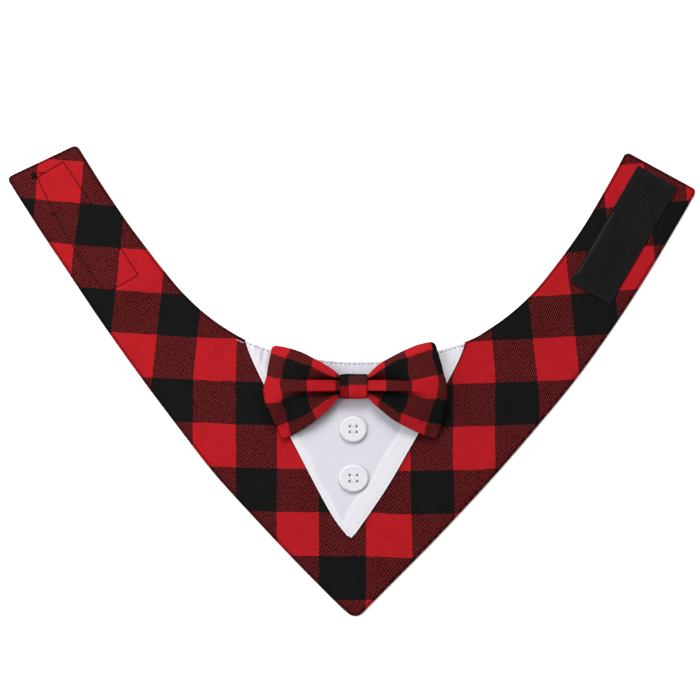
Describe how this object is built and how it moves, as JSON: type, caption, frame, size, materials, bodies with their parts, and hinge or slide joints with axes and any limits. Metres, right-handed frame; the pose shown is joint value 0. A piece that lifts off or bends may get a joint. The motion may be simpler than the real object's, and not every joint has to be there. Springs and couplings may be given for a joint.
{
  "type": "dog bandana",
  "caption": "Checked flannel neck scarf for a dog with a white shirt front, buttons, a bow tie and a hook and loop closure, lying flat, face up.",
  "frame": {"origin": "middle of the bounding box's base: on the table, midway between the strap ends and midway between the strap tops and the point", "axes": "+X across the scarf toward the hook tape, +Y from the point toward the neckline, +Z out of its face, up"},
  "size_m": [0.4122, 0.2826, 0.0172],
  "materials": {
    "check_flannel": "brushed twill flannel in a red and black buffalo check",
    "white_cotton": "plain white cotton",
    "loop_pile": "black brushed loop pile",
    "hook_nylon": "black woven tape with rows of nylon hooks",
    "button_plastic": "glossy white resin",
    "dark_thread": "black sewing thread",
    "white_thread": "white sewing thread"
  },
  "bodies": {
    "root": {"bandana_body": "check_flannel", "shirt_front": "white_cotton", "loop_tape": "loop_pile", "hook_tape": "hook_nylon", "button_upper": "button_plastic", "button_lower": "button_plastic", "bow_loop": "check_flannel", "bow_knot": "check_flannel"}
  },
  "joints": []
}
